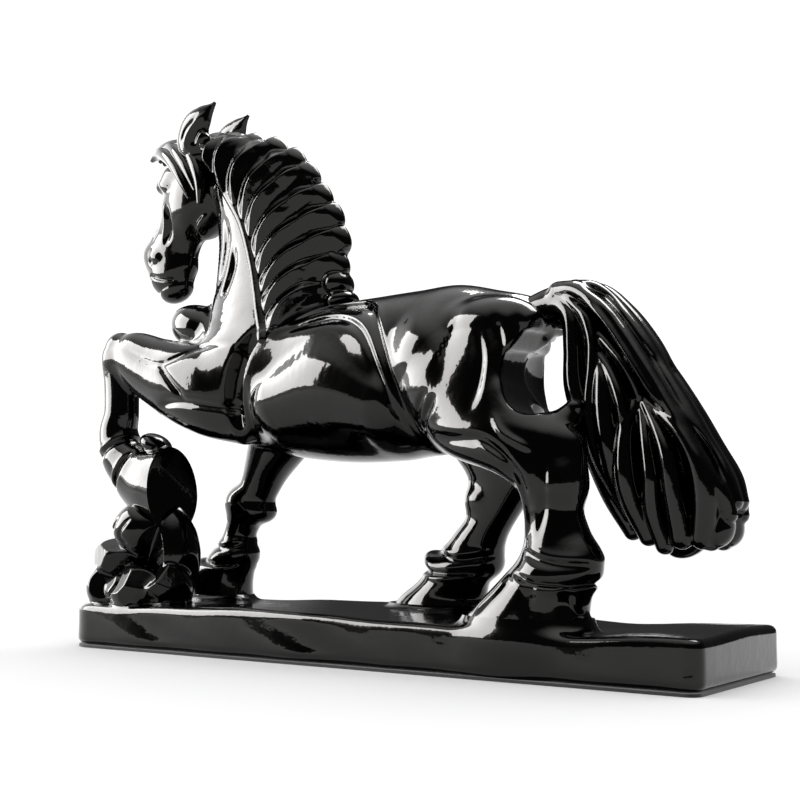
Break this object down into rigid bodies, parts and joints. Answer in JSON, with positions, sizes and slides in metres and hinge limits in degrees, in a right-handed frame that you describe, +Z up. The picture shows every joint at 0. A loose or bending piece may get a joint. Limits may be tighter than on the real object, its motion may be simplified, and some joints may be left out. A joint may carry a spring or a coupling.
{
  "type": "horse statuette",
  "caption": "Cast statuette of a heavy horse with a ribbed mane, walking on an oblong base with one foreleg raised over a pile of rocks.",
  "frame": {"origin": "middle of the underside of the base", "axes": "+X towards the tail end along the base's length, -X the way the horse faces, -Y its left side, +Z up"},
  "size_m": [0.3105, 0.085, 0.2569],
  "materials": {
    "bronze": "black patina, polished and lacquered to a high gloss",
    "steel": "plain",
    "pin_brass": "turned",
    "felt": "pressed wool"
  },
  "bodies": {
    "root": {"base_casting": "bronze", "base_felt": "felt", "trunk": "bronze", "neck": "bronze", "neck_joint_sleeve": "pin_brass", "head": "bronze", "mane": "bronze", "forelock": "bronze", "ear_left": "bronze", "ear_right": "bronze", "tail": "bronze", "foreleg_left_raised": "bronze", "foreleg_right": "bronze", "hindleg_left": "bronze", "hindleg_right": "bronze", "rock_support": "bronze", "head_pin": "pin_brass", "tail_pin": "pin_brass", "foreleg_left_pin": "pin_brass", "foreleg_right_pin": "pin_brass", "hindleg_left_pin": "pin_brass", "hindleg_right_pin": "pin_brass", "base_screw_1": "steel", "base_screw_2": "steel", "base_screw_3": "steel", "base_screw_4": "steel", "base_washer_1": "steel", "base_washer_2": "steel", "base_washer_3": "steel", "base_washer_4": "steel"}
  },
  "joints": []
}
